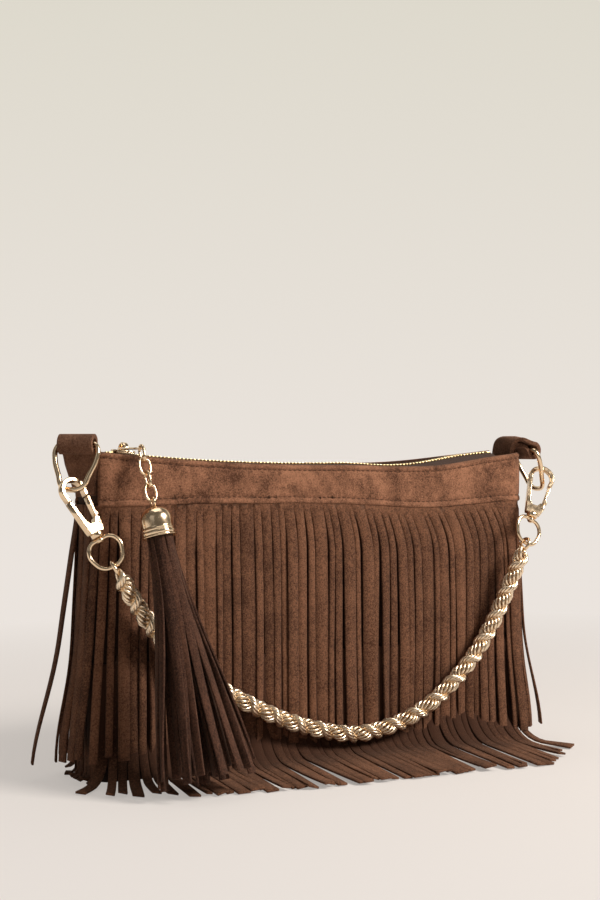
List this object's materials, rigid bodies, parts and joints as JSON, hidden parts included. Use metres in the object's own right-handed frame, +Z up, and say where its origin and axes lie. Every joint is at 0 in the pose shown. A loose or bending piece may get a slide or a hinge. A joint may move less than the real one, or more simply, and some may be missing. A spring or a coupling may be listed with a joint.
{
  "type": "fringed suede bag",
  "caption": "Small suede bag with a zipped top, tiers of cut fringe on both faces, a tassel on the zip pull and a rope chain hung between swivel clips.",
  "frame": {"origin": "middle of the pouch's base, on the surface that the bag stands on", "axes": "+Z up, the front faces -Y, +X to the right of someone who looks at the front"},
  "size_m": [0.3081, 0.1618, 0.1798],
  "materials": {
    "suede": "napped suede",
    "inner_suede": "napped suede",
    "lining": "plain woven cloth",
    "zip_tape": "woven tape",
    "zip_metal": "polished",
    "gold_metal": "polished pale gold plate"
  },
  "bodies": {
    "bag": {"front_panel": "inner_suede", "back_panel": "inner_suede", "gusset": "inner_suede", "lining": "lining", "front_band": "suede", "back_band": "suede", "front_upper_fringe": "suede", "front_lower_fringe": "suede", "back_upper_fringe": "suede", "back_lower_fringe": "suede", "zip_tape_front": "zip_tape", "zip_tape_back": "zip_tape", "zip_teeth_front": "zip_metal", "zip_teeth_back": "zip_metal", "zip_bottom_stop": "zip_metal", "zip_top_stop_front": "zip_metal", "zip_top_stop_back": "zip_metal", "left_tab": "suede", "right_tab": "suede", "rope_chain_left": "gold_metal", "rope_chain_right": "gold_metal"},
    "slider": {"slider": "zip_metal"},
    "pull": {"pull_loop": "gold_metal", "pull_link_1": "gold_metal", "pull_link_2": "gold_metal", "pull_link_3": "gold_metal", "pull_link_4": "gold_metal"},
    "tassel": {"tassel_cap": "gold_metal", "tassel_strands": "suede"},
    "left_hanger": {"left_ring": "gold_metal", "left_clip_body": "gold_metal", "left_gate_pin": "gold_metal", "left_gate_spring": "gold_metal"},
    "left_gate": {"left_clip_gate": "gold_metal"},
    "left_swivel": {"left_swivel_eye": "gold_metal", "left_end_link": "gold_metal"},
    "right_hanger": {"right_ring": "gold_metal", "right_clip_body": "gold_metal", "right_gate_pin": "gold_metal", "right_gate_spring": "gold_metal"},
    "right_gate": {"right_clip_gate": "gold_metal"},
    "right_swivel": {"right_swivel_eye": "gold_metal", "right_end_link": "gold_metal"}
  },
  "joints": [
    {"name": "slider_run", "type": "hinge", "parent": "bag", "child": "slider", "pos_m": [0, 0, 1.32883], "axis": [0, -1, 0], "range_deg": [0, 11]},
    {"name": "pull_swing", "type": "hinge", "parent": "slider", "child": "pull", "pos_m": [-0.1117, 0.0003, 0.17277], "axis": [-1, 0, 0], "range_deg": [0, 80]},
    {"name": "tassel_swing", "type": "hinge", "parent": "pull", "child": "tassel", "pos_m": [-0.10976, -0.03546, 0.14705], "axis": [-1, 0, 0], "range_deg": [0, 45]},
    {"name": "left_ring_swing", "type": "hinge", "parent": "bag", "child": "left_hanger", "pos_m": [-0.1416, -0.013, 0.175], "axis": [-0.7659, 0.6429, 0], "range_deg": [0, 45], "deforming": ["rope_chain_left"]},
    {"name": "left_gate_turn", "type": "hinge", "parent": "left_hanger", "child": "left_gate", "pos_m": [-0.13436, -0.02382, 0.13523], "axis": [0.2102, -0.8897, 0.4053], "range_deg": [0, 22], "stiffness_Nm_per_rad": 0.03, "springref_deg": -11.46},
    {"name": "left_swivel_turn", "type": "hinge", "parent": "left_hanger", "child": "left_swivel", "pos_m": [-0.14684, -0.01922, 0.15178], "axis": [-0.4, 0.3, 0.866], "continuous": true},
    {"name": "right_ring_swing", "type": "hinge", "parent": "bag", "child": "right_hanger", "pos_m": [0.1388, -0.0127, 0.1718], "axis": [0, -1, 0], "range_deg": [0, 45], "deforming": ["rope_chain_right"]},
    {"name": "right_gate_turn", "type": "hinge", "parent": "right_hanger", "child": "right_gate", "pos_m": [0.13959, -0.02827, 0.13699], "axis": [-0.2954, -0.8571, 0.422], "range_deg": [0, 22], "stiffness_Nm_per_rad": 0.03, "springref_deg": -11.46},
    {"name": "right_swivel_turn", "type": "hinge", "parent": "right_hanger", "child": "right_swivel", "pos_m": [0.14517, -0.0208, 0.15606], "axis": [0.4596, 0.2598, 0.8493], "continuous": true}
  ]
}
